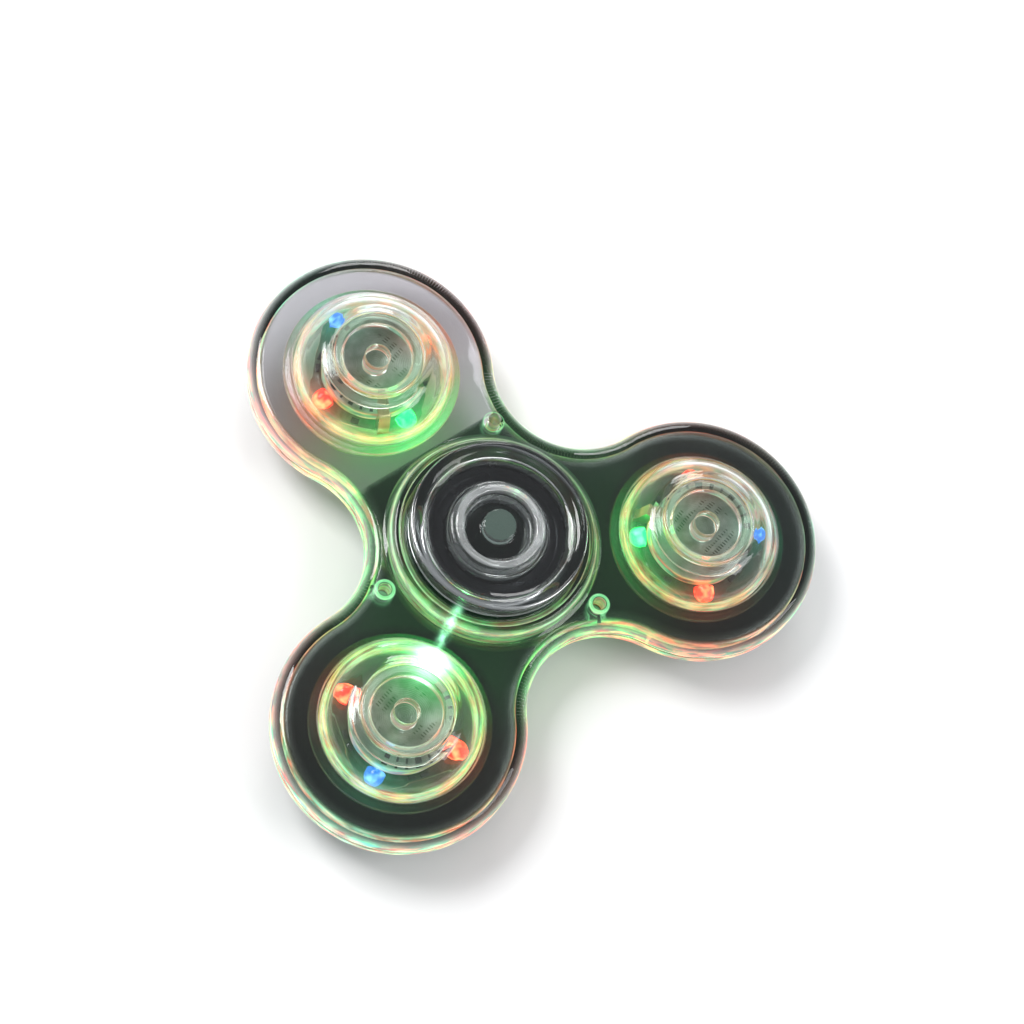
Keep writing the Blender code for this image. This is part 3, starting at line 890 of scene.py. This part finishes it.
@dataclass
class ShellPair:
    """The two clear half shells, with the collar round the bearing and the studs that join them."""

    bench: Bench
    finish: ClearPlastic
    lobe_radius: float = 15.4
    face: float = 2.6
    rounding: float = 1.75
    wall: float = 1.5
    ceiling: float = 1.3
    rim: float = 0.05
    collar_radius: float = 12.7
    hole_radius: float = 10.0
    stud_radius: float = 1.25
    socket_radius: float = 0.8
    lobe_steps: int = 168
    neck_steps: int = 60
    hub_steps: int = 128
    hole_steps: int = 96
    stud_faces: int = 32

    def outline(self, shape: BMesh) -> BMFace:
        """Swings one point round the lobes and the hollow necks, and fills the outline.

        Args:
            shape: The shape to draw in.

        Returns:
            The outline's face, at the shell's rim.
        """
        pitch, rim = self.bench.places.pitch, self.rim * MM
        start = Matrix.Rotation(math.radians(-120), 4, "Z") @ Vector((self.lobe_radius * MM, 0.0, 0.0))
        point = shape.verts.new(start + Vector((pitch, 0.0, rim)))
        for lobe in range(3):
            for turn, sweep, steps in ((0, 240, self.lobe_steps), (60, -120, self.neck_steps)):
                middle = Matrix.Rotation(math.radians(120 * lobe + turn), 4, "Z") @ Vector((pitch, 0.0, rim))
                swung = bmesh.ops.spin(
                    shape, geom=[point], cent=middle, axis=UP, angle=math.radians(sweep), steps=steps
                )
                point = next(item for item in swung["geom_last"] if isinstance(item, BMVert))
        bmesh.ops.remove_doubles(shape, verts=shape.verts, dist=1e-6)
        return bmesh.ops.contextual_create(shape, geom=shape.edges[:])["faces"][0]

    def body(self) -> BMesh:
        """A rounded tray with the spinner's outline, open at the seam."""
        shape = bmesh.new()
        floor = self.outline(shape)
        top = raised(shape, floor, self.face - self.rim)[0]
        bevel(shape, top.edges[:], self.rounding, 8)
        floor = min(shape.faces, key=lambda f: (f.calc_center_median().z, -f.calc_area()))
        bmesh.ops.inset_region(shape, faces=[floor], thickness=self.wall * MM, use_even_offset=True)
        hollow = raised(shape, floor, self.ceiling - self.rim)[0]
        if floor.is_valid:
            bmesh.ops.delete(shape, geom=[floor], context="FACES")
        bevel(shape, hollow.edges[:], 0.45, 4)
        rims = [e for e in shape.edges if all(abs(v.co.z - self.rim * MM) < 1e-7 for v in e.verts)]
        bevel(shape, rims, 0.25, 2)
        bmesh.ops.recalc_face_normals(shape, faces=shape.faces)
        return shape

    def collar(self) -> BMesh:
        """The stepped ring that holds the bearing, with its lip and its flared foot."""
        outer = self.collar_radius
        return turned(
            (
                (outer - 1.0, 4.15, 0.12, 2), (outer - 0.9, 3.95), (outer - 0.45, 3.95, 0.25, 4),
                (outer, 3.5, 0.2, 3), (outer, 3.0, 0.3, 4), (outer + 0.8, self.face + 0.02),
                (outer + 0.8, self.ceiling + 0.2), (outer, self.ceiling - 0.4), (outer, self.rim), (11.2, self.rim),
                (11.2, 3.7, 0.1, 2), (10.0, 3.7), (10.0, 4.15, 0.1, 2),
            ),
            self.hub_steps,
        )

    def stud(self, side: Side) -> BMesh:
        """A joining stud, without the web that ties it to the outer wall. The lower one carries the pin."""
        foot, outer = 0.3, self.stud_radius
        if side is Side.UPPER:
            corners = (
                (0.0, self.face + 0.25), (outer, self.face + 0.25, 0.12), (outer, foot, 0.1, 2), (0.0, foot),
            )
        else:
            root = (self.ceiling + self.face) / 2
            corners = (
                (0.0, root), (outer, root), (outer, foot, 0.1, 2), (0.6, foot, 0.08, 2), (0.6, -0.9, 0.2, 3),
                (0.0, -0.9),
            )
        return turned(corners, self.stud_faces)

    def web(self) -> BMesh:
        """The thin web from a stud to the outer wall, along X."""
        middle = Vector(((self.stud_radius + self.wall) / 2 + 0.4, 0.0, 1.2))
        return block((self.wall + 0.6, 0.55, 1.3), middle, 0.08)

    def socket(self) -> BMesh:
        """The round hole down a stud of the upper half."""
        mouth = self.face + 1.0
        hole = ((0.0, mouth), (self.socket_radius, mouth), (self.socket_radius, 0.0), (0.0, 0.0))
        return turned(hole, self.stud_faces)

    def stud_steps(self, lobe: int, side: Side) -> list[tuple[str, BMesh]]:
        """The Booleans that add one stud and its web, and open the upper one.

        Args:
            lobe: The lobe's number, from 0.
            side: The half that the stud belongs to.

        Returns:
            The operations, in order.
        """
        pitch = self.bench.places.pitch
        spot = Matrix.Rotation(math.radians(120 * lobe + STUD_TURN), 4, "Z") @ Vector((STUD_RING * MM, 0.0, 0.0))
        neck = Matrix.Rotation(math.radians(120 * lobe + 60), 4, "Z") @ Vector((pitch, 0.0, 0.0))
        towards_wall = Matrix.Rotation(math.atan2(neck.y - spot.y, neck.x - spot.x), 4, "Z")
        place = Matrix.Translation(spot) @ towards_wall
        steps = [("UNION", self.stud(side)), ("UNION", self.web())]
        if side is Side.UPPER:
            steps.append(("DIFFERENCE", self.socket()))
        for _, shape in steps:
            moved(shape, place)
        return steps

    def build(self, side: Side, node: str) -> None:
        """Makes one half shell and puts it in place of its node."""
        pitch = self.bench.places.pitch
        core = ((0.0, 3.5), (12.0, 3.5), (12.0, -1.0), (0.0, -1.0))
        radius = self.hole_radius
        window = ((0.0, 3.2), (radius + 0.8, 3.2), (radius, 2.4, 0.15, 3), (radius, 0.5), (0.0, 0.5))
        steps = [("DIFFERENCE", turned(core, self.hub_steps)), ("UNION", self.collar())]
        for lobe in range(3):
            turn = Matrix.Rotation(math.radians(120 * lobe), 4, "Z")
            hole = moved(turned(window, self.hole_steps), turn @ Matrix.Translation((pitch, 0.0, 0.0)))
            steps += [("DIFFERENCE", hole), *self.stud_steps(lobe, side)]
        shape = mirrored(carved(self.body(), steps), side)
        self.bench.put(node, shape, self.finish, "spinner", "smoke_plastic", self.bench.places.hub(), sharp=30.0)


@dataclass
class Bearing:
    """The ball bearing in the hub, with a pressed shield on each side."""

    bench: Bench
    steel: Metal
    shield: Metal
    radius: float = 11.0
    half: float = 3.5
    ball_radius: float = 1.98
    steps: int = 128

    def build(self, frame: dict) -> None:
        """Makes the rings, shields and balls, and dresses the cage."""
        hub = self.bench.places.hub()
        half = self.half
        outer = (
            (self.radius, half, 0.3), (self.radius, -half, 0.3), (9.1, -half, 0.1, 2), (9.1, -1.5), (9.45, -0.9),
            (9.62, 0.0), (9.45, 0.9), (9.1, 1.5), (9.1, half, 0.1, 2),
        )
        inner = (
            (5.9, half, 0.15, 2), (5.9, 1.5), (5.55, 0.9), (5.38, 0.0), (5.55, -0.9), (5.9, -1.5),
            (5.9, -half, 0.15, 2), (4.0, -half, 0.15, 2), (4.0, half, 0.15, 2),
        )
        for name, profile, body in (("bearing_outer_ring", outer, "spinner"), ("bearing_inner_ring", inner, "hub")):
            self.bench.put(name, turned(profile, self.steps), self.steel, body, "bearing_steel", hub)
        pressed = (
            (8.85, 3.2, 0.08, 2), (8.85, 2.9, 0.08, 2), (7.9, 2.9), (7.7, 2.8), (6.15, 2.8, 0.08, 2),
            (6.15, 3.05, 0.08, 2), (7.6, 3.05, 0.1, 2), (7.85, 3.2, 0.1, 2),
        )
        for side, node in ((Side.UPPER, "bearing_shield_top"), (Side.LOWER, "bearing_shield_bottom")):
            shape = mirrored(turned(pressed, self.steps), side)
            self.bench.put(node, shape, self.shield, "spinner", "shield_steel", hub)
        for number in range(1, 8):
            name = f"bearing_ball_{number}"
            low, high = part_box(name)
            place = Matrix.Translation((Vector(low) + Vector(high)) / 2)
            ball = bmesh.new()
            bmesh.ops.create_uvsphere(ball, u_segments=32, v_segments=16, radius=self.ball_radius * MM)
            self.bench.put(name, ball, self.steel, f"ball_{number}", "bearing_steel", place)
        self.bench.dress(frame, "bearing_cage", Moulded("cage nylon", (0.80, 0.77, 0.66), 0.45))


@dataclass
class HubCaps:
    """The two caps held between finger and thumb."""

    bench: Bench
    finish: ClearPlastic
    radius: float = 10.83
    face: float = 7.3
    steps: int = 144

    def corners(self, middle: Sequence[Corner]) -> tuple[Corner, ...]:
        """A cap's profile, ending in the post's own corners."""
        rim, face = self.radius, self.face
        return (
            (0.0, face), (2.0, face, 0.15), (2.1, 5.9, 0.2), (4.2, 5.9, 0.4), (4.5, 6.95, 0.2), (5.3, 6.95, 0.25),
            (5.7, 6.45, 0.3), (8.7, 6.5, 0.6, 5), (9.7, face, 0.4), (rim, face, 0.5, 6), (rim, 4.65, 0.15, 2),
            (rim - 1.1, 4.65, 0.1, 2), (rim - 1.3, 5.5, 0.3), (6.1, 5.4, 0.3), (5.6, 3.7, 0.1, 2), (3.8, 3.7),
            *middle,
        )

    def build(self) -> None:
        """Makes both caps."""
        pin = (
            (3.8, 0.2, 0.2, 3), (2.0, 0.2), (2.0, -2.5, 0.3, 3), (0.0, -2.5),
        )
        socket = (
            (3.8, 0.2, 0.2, 3), (2.2, 0.2, 0.1, 2), (2.2, 2.8), (0.0, 2.8),
        )
        hub = self.bench.places.hub()
        for side, middle, node in ((Side.UPPER, pin, "hub_cap_top"), (Side.LOWER, socket, "hub_cap_bottom")):
            shape = mirrored(turned(self.corners(middle), self.steps), side)
            self.bench.put(node, shape, self.finish, "hub", "smoke_plastic", hub)


@dataclass
class Capsule:
    """A lobe's light capsule: lens, cover, button, coin cell, board, contact and lamps."""

    bench: Bench
    lobe: str
    clear: ClearPlastic
    cover_clear: ClearPlastic
    button_clear: ClearPlastic
    inner_glow: Glow
    radius: float = 9.8
    inside: float = 8.9
    lens_top: float = 6.8
    lens_hole: float = 5.65
    button_radius: float = 5.45
    button_top: float = 7.1
    cell_radius: float = 6.25
    cell_base: float = 1.1
    cell_height: float = 2.0
    board_top: float = 0.2
    lamp_axis: float = 1.6
    lamp_back: float = 6.6
    lamp_radius: float = 1.2
    contact_turn: float = 156.0
    mark_gap: float = 9.0
    steps: int = 96

    def __post_init__(self) -> None:
        """Finds the capsule's place and the body its button rides on."""
        self.place = self.bench.places.capsule(self.lobe)
        self.button_body = f"button_{self.lobe}"

    def put(
        self, part: str, shape: BMesh, finish: Finish, slot: str, body: str = "spinner", node: bool = True
    ) -> Object:
        """Puts a piece of this capsule in its place."""
        name = f"{part}_{self.lobe}"
        return self.bench.put(name, shape, finish, body, slot, self.place, node)

    def build_lens(self) -> None:
        """The domed lens and the shallow cover under it."""
        lens = (
            (self.lens_hole, self.lens_top, 0.15), (self.lens_hole + 0.9, self.lens_top, 0.3), (7.7, 6.1, 0.5),
            (8.9, 5.0, 0.6), (9.6, 3.7, 0.5), (self.radius, 2.6, 0.4), (self.radius, 1.0), (11.0, 1.0, 0.15, 2),
            (11.0, 0.05, 0.1, 2), (self.inside, 0.05), (self.inside, 2.9, 0.4), (8.5, 3.9, 0.4), (7.6, 4.9, 0.4),
            (6.6, 5.6, 0.3), (self.lens_hole, 5.85, 0.1, 2),
        )
        self.put("lens_dome", turned(lens, self.steps), self.clear, "clear_plastic")
        cover = (
            (0.0, 4.9), (self.radius, 4.9, 0.9, 6), (self.radius, 1.0), (11.0, 1.0, 0.15, 2), (11.0, 0.05, 0.1, 2),
            (self.inside, 0.05), (self.inside, 4.0, 0.5), (0.0, 4.0),
        )
        self.put("base_cover", mirrored(turned(cover, self.steps), Side.LOWER), self.cover_clear, "clear_plastic")

    def build_button(self) -> None:
        """The clear button with its pin, and the coin cell that it presses."""
        button = (
            (0.0, self.button_top), (self.button_radius, self.button_top, 0.35, 5), (self.button_radius, 5.0),
            (6.2, 5.0, 0.1, 2), (6.2, 4.5, 0.1, 2), (4.4, 4.5, 0.15, 3), (4.4, 6.1, 0.3), (1.5, 6.1, 0.15),
            (1.5, 3.3, 0.15, 3), (0.0, 3.3),
        )
        middle = (self.place.translation.x, self.place.translation.y)
        clear = replace(self.button_clear, name=f"button clear plastic {self.lobe}", centre=middle)
        self.put("push_button", turned(button, self.steps), clear, "clear_plastic", self.button_body)
        top = self.cell_base + self.cell_height
        cell = (
            (0.0, top - 0.06), (5.0, top - 0.06), (5.15, top), (self.cell_radius, top, 0.35, 5),
            (self.cell_radius, self.cell_base + 0.2, 0.15, 3), (5.5, self.cell_base + 0.2),
            (5.45, self.cell_base, 0.15, 3), (0.0, self.cell_base),
        )
        nickel = CellSteel(f"cell nickel {self.lobe}", (0.20, 0.21, 0.20), middle, self.inner_glow)
        self.put("coin_cell", turned(cell, self.steps), nickel, "cell_nickel", self.button_body)
        self.build_marks(top)

    def build_marks(self, height: float) -> None:
        """Printed dashes round the cell's edge, none of them letters."""
        bars = []
        turn = 0.0
        for span in (7, 3, 3, 8, 3, 5, 9, 3, 6, 3, 4, 7):
            shape = bmesh.new()
            corners = [shape.verts.new((r * MM, 0.0, height * MM)) for r in (5.30, 6.00)]
            line = shape.edges.new(corners)
            bmesh.ops.spin(shape, geom=[*corners, line], cent=(0, 0, 0), axis=UP, angle=math.radians(span), steps=4)
            bmesh.ops.solidify(shape, geom=shape.faces[:], thickness=0.03 * MM)
            bmesh.ops.recalc_face_normals(shape, faces=shape.faces)
            bmesh.ops.translate(shape, verts=shape.verts, vec=(0, 0, 0.02 * MM))
            bars.append(moved(shape, Matrix.Rotation(math.radians(turn), 4, "Z")))
            turn += span + self.mark_gap
        ink = Moulded("printed ink", (0.01, 0.01, 0.012), 0.6)
        self.put("cell_marks", joined(bars), ink, "black_epoxy", self.button_body, node=False)

    def build_board(self) -> None:
        """The square board, its chip and small parts, and the dome spring."""
        flat, reach = 7.0, 8.6
        half = math.degrees(math.acos(flat / reach))
        outline = []
        for corner in range(4):
            for step in range(7):
                angle = math.radians(90 * corner + (half - 45) + (90 - 2 * half) * step / 6)
                outline.append((reach * math.cos(angle), reach * math.sin(angle)))
        green = (0.10, 0.15, 0.11)
        laminate = Moulded("board laminate", green, 0.4, 700.0, 0.2, (0.22, 0.30, 0.22), self.inner_glow)
        board = slab(outline, self.board_top - 0.8, self.board_top, 0.06)
        self.put("circuit_board", board, laminate, "board_laminate")
        black = Moulded("moulding compound", (0.02, 0.02, 0.022), 0.35)
        chip = block((4.4, 3.2, 1.0), Vector((0.0, 0.0, -1.3)), 0.12)
        self.put("controller_chip", chip, black, "black_epoxy")
        parts = []
        for turn in (38.0, 52.0, 128.0, 232.0, 308.0, 322.0):
            angle = math.radians(turn)
            spot = Vector((6.55 * math.cos(angle), 6.55 * math.sin(angle), self.board_top + 0.25))
            parts.append(block((0.5, 1.0, 0.42), spot, 0.06, angle))
        self.put("board_parts", joined(parts), black, "black_epoxy", node=False)
        spring = Metal("contact spring", (0.80, 0.68, 0.42), 0.22)
        snap = (
            (0.0, 0.95), (1.4, 0.85, 0.2), (2.6, 0.47), (2.6, 0.35), (2.3, 0.35), (1.3, 0.71, 0.2), (0.0, 0.8),
        )
        dome = self.put("snap_dome", turned(snap, 48), spring, "contact_spring")
        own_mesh(dome)
        self.build_contact(spring)

    def build_contact(self, spring: Metal) -> None:
        """The bent strip that reaches from the board over the cell's rim."""
        outline = (
            (8.0, 0.35), (8.0, 0.6), (6.85, 0.6), (6.85, 3.65), (5.2, 3.65), (5.2, 3.4), (6.6, 3.4), (6.6, 0.35),
        )
        shape = slab(outline, -0.7, 0.7)
        bends = [e for e in shape.edges if abs(e.verts[0].co.z - e.verts[1].co.z) > 1 * MM]
        bevel(shape, bends, 0.08, 2)
        upright = Matrix.Rotation(math.radians(self.contact_turn), 4, "Z") @ Matrix.Rotation(math.pi / 2, 4, "X")
        self.put("contact_arm", moved(shape, upright), spring, "contact_spring")

    def build_lamps(self) -> None:
        """The four lamps, lying with their round ends outwards."""
        for lamp in Lamp:
            corners = (
                (0.0, 2.0), (0.75, 1.85, 0.3), (self.lamp_radius, 1.0, 0.4), (self.lamp_radius, 0.0, 0.1, 2),
                (0.0, 0.0),
            )
            shape = turned(corners, 32)
            angle = math.radians(lamp.turn)
            lying = (
                Matrix.Rotation(angle, 4, "Z")
                @ Matrix.Translation(Vector((self.lamp_back, 0.0, self.lamp_axis)) * MM)
                @ Matrix.Rotation(math.pi / 2, 4, "Y")
            )
            moved(shape, lying)
            slot = f"lamp_{lamp.label.split('_')[0]}"
            keen = lamp is Lamp.GREEN and self.lobe == KEEN_LOBE
            power, name = (KEEN_POWER, "keen lamp green") if keen else (lamp.power, slot.replace("_", " "))
            self.put(f"led_{lamp.label}", shape, LitLens(name, lamp.colour, lamp.hot, power), slot)

    def build(self) -> None:
        """Makes the whole capsule."""
        self.build_lens()
        self.build_button()
        self.build_board()
        self.build_lamps()


@dataclass
class Studio:
    """The pale floor, the soft lights and the camera."""

    target: Vector
    distance: float = 0.3387
    azimuth: float = -32.32
    elevation: float = 67.49
    roll: float = 29.03
    lens: float = 97.32
    shift: tuple[float, float] = (0.0224, 0.0321)

    def floor(self) -> None:
        """A wide plain floor."""
        shape = bmesh.new()
        bmesh.ops.create_grid(shape, x_segments=1, y_segments=1, size=3.0)
        made = bare("floor", shape)
        table = NodeTable("pale floor")
        table.shader.inputs["Base Color"].default_value = (0.84, 0.84, 0.84, 1.0)
        table.shader.inputs["Roughness"].default_value = 0.6
        made.data.materials.append(table.material)

    def light(self, name: str, spot: tuple[float, float, float], size: float, watts: float) -> None:
        """A square soft light that looks at the spinner."""
        lamp = bpy.data.lights.new(name, "AREA")
        lamp.shape = "SQUARE"
        lamp.size = size
        lamp.energy = watts
        made = bpy.data.objects.new(name, lamp)
        made.location = spot
        made.rotation_euler = (self.target - Vector(spot)).to_track_quat("-Z", "Y").to_euler()
        bpy.context.scene.collection.objects.link(made)

    def lights(self) -> None:
        """Three soft lights in a pale room."""
        self.light("key", (-0.35, 0.25, 0.55), 0.30, 3.8)
        self.light("fill", (0.45, -0.2, 0.5), 0.35, 1.6)
        self.light("back", (0.1, 0.6, 0.35), 0.25, 1.3)
        world = bpy.data.worlds.new("room")
        world.use_nodes = True
        world.node_tree.nodes["Background"].inputs[0].default_value = (0.93, 0.95, 1.0, 1.0)
        world.node_tree.nodes["Background"].inputs[1].default_value = 0.55
        bpy.context.scene.world = world

    def camera(self) -> None:
        """The camera, looking down at the spinner and turned about its own axis."""
        a, e = math.radians(self.azimuth), math.radians(self.elevation)
        back = Vector((math.sin(a) * math.cos(e), -math.cos(a) * math.cos(e), math.sin(e)))
        data = bpy.data.cameras.new("camera")
        data.lens = self.lens
        data.shift_x, data.shift_y = self.shift
        data.clip_start, data.clip_end = 0.01, 20.0
        made = bpy.data.objects.new("camera", data)
        made.location = self.target + back * self.distance
        made.rotation_mode = "QUATERNION"
        level = (-back).to_track_quat("-Z", "Y")
        made.rotation_quaternion = level @ Quaternion((0.0, 0.0, 1.0), math.radians(self.roll))
        bpy.context.scene.collection.objects.link(made)
        bpy.context.scene.camera = made

    def build(self) -> None:
        """Sets up the studio."""
        self.floor()
        self.lights()
        self.camera()


def main() -> None:
    """Builds the spinner's sub-assemblies round the frame, then the studio."""
    logging.basicConfig(level=logging.INFO, format="%(name)s: %(message)s")
    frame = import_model()
    places = Places.of_frame()
    bench = Bench(places)
    keen = places.turns[KEEN_LOBE]
    smoke_glow = Glow(
        places, 1.7, 3.2 * MM, 0.022, keen_turn=keen, keen_gain=1.4, beam=1.0, round_capsule=0.12, stud_light=0.7
    )
    smoke = ClearPlastic(
        "smoked clear plastic",
        (0.14, 0.165, 0.155),
        glow=smoke_glow,
        slope_highlight_tint=(0.66, 0.69, 0.675),
        rim_highlight_tint=(0.52, 0.55, 0.54),
        slope_haze=0.45,
        pale_tint=(0.77, 0.76, 0.79),
        pale_turn=places.turns["b"],
        pale_from=13.5 * MM,
        seam=places.seam,
    )
    cap_clear = ClearPlastic(
        "cap clear plastic",
        (0.24, 0.26, 0.255),
        slope_highlight_tint=(0.90, 0.92, 0.91),
        # The pale ring is a painted highlight; the inner band is a grey-green disc in the middle.
        bands=((0.0, 1.95 * MM, (0.26, 0.38, 0.32)), (4.4 * MM, 5.35 * MM, (0.80, 0.82, 0.81))),
        band_clearness=0.78,
    )
    lens_glow = Glow(places, 0.45, 1.6 * MM, 0.15, 0.9, 0.6, 0.5, 0.45, keen_turn=keen, keen_gain=2.5, flare=2.6)
    lens_clear = ClearPlastic("lens clear plastic", (0.84, 0.88, 0.86), glow=lens_glow)
    cover_glow = Glow(places, 1.1, 2.4 * MM, 1.0, 0.9, 0.5, 0.25, 0.02, keen_turn=keen, keen_gain=1.2)
    cover_clear = ClearPlastic("cover clear plastic", (0.88, 0.90, 0.86), 0.25, glow=cover_glow)
    button_clear = ClearPlastic(
        "button clear plastic",
        (0.72, 0.76, 0.74),
        glow=Glow(places, 0.35, 2.4 * MM, 0.1, keen_turn=keen, flare=1.6),
        # A pale green ring painted in the button's wall: painted lamp light and painted highlight.
        bands=((4.6 * MM, 5.15 * MM, (0.60, 0.76, 0.62)),),
        band_clearness=0.78,
    )
    inner_glow = Glow(places, 0.9, 1.5 * MM, 1.0, 0.9, 0.8, 0.5, 0.4, keen_turn=keen, keen_gain=2.0)
    shells = ShellPair(bench, smoke)
    shells.build(Side.UPPER, "top_shell")
    shells.build(Side.LOWER, "bottom_shell")
    steel = Metal("bearing steel", (0.60, 0.61, 0.62), 0.18, 9000.0)
    shield = Metal("shield steel", (0.10, 0.10, 0.11), 0.25, 14000.0)
    Bearing(bench, steel, shield).build(frame)
    HubCaps(bench, cap_clear).build()
    for lobe in places.turns:
        Capsule(bench, lobe, lens_clear, cover_clear, button_clear, inner_glow).build()
    LOG.info("%d pieces made", bench.count)
    Studio(Vector((0.0, 0.0, places.seam))).build()
    bpy.context.scene.view_settings.view_transform = "Standard"
    bpy.context.view_layer.update()


if __name__ == "__main__":
    main()
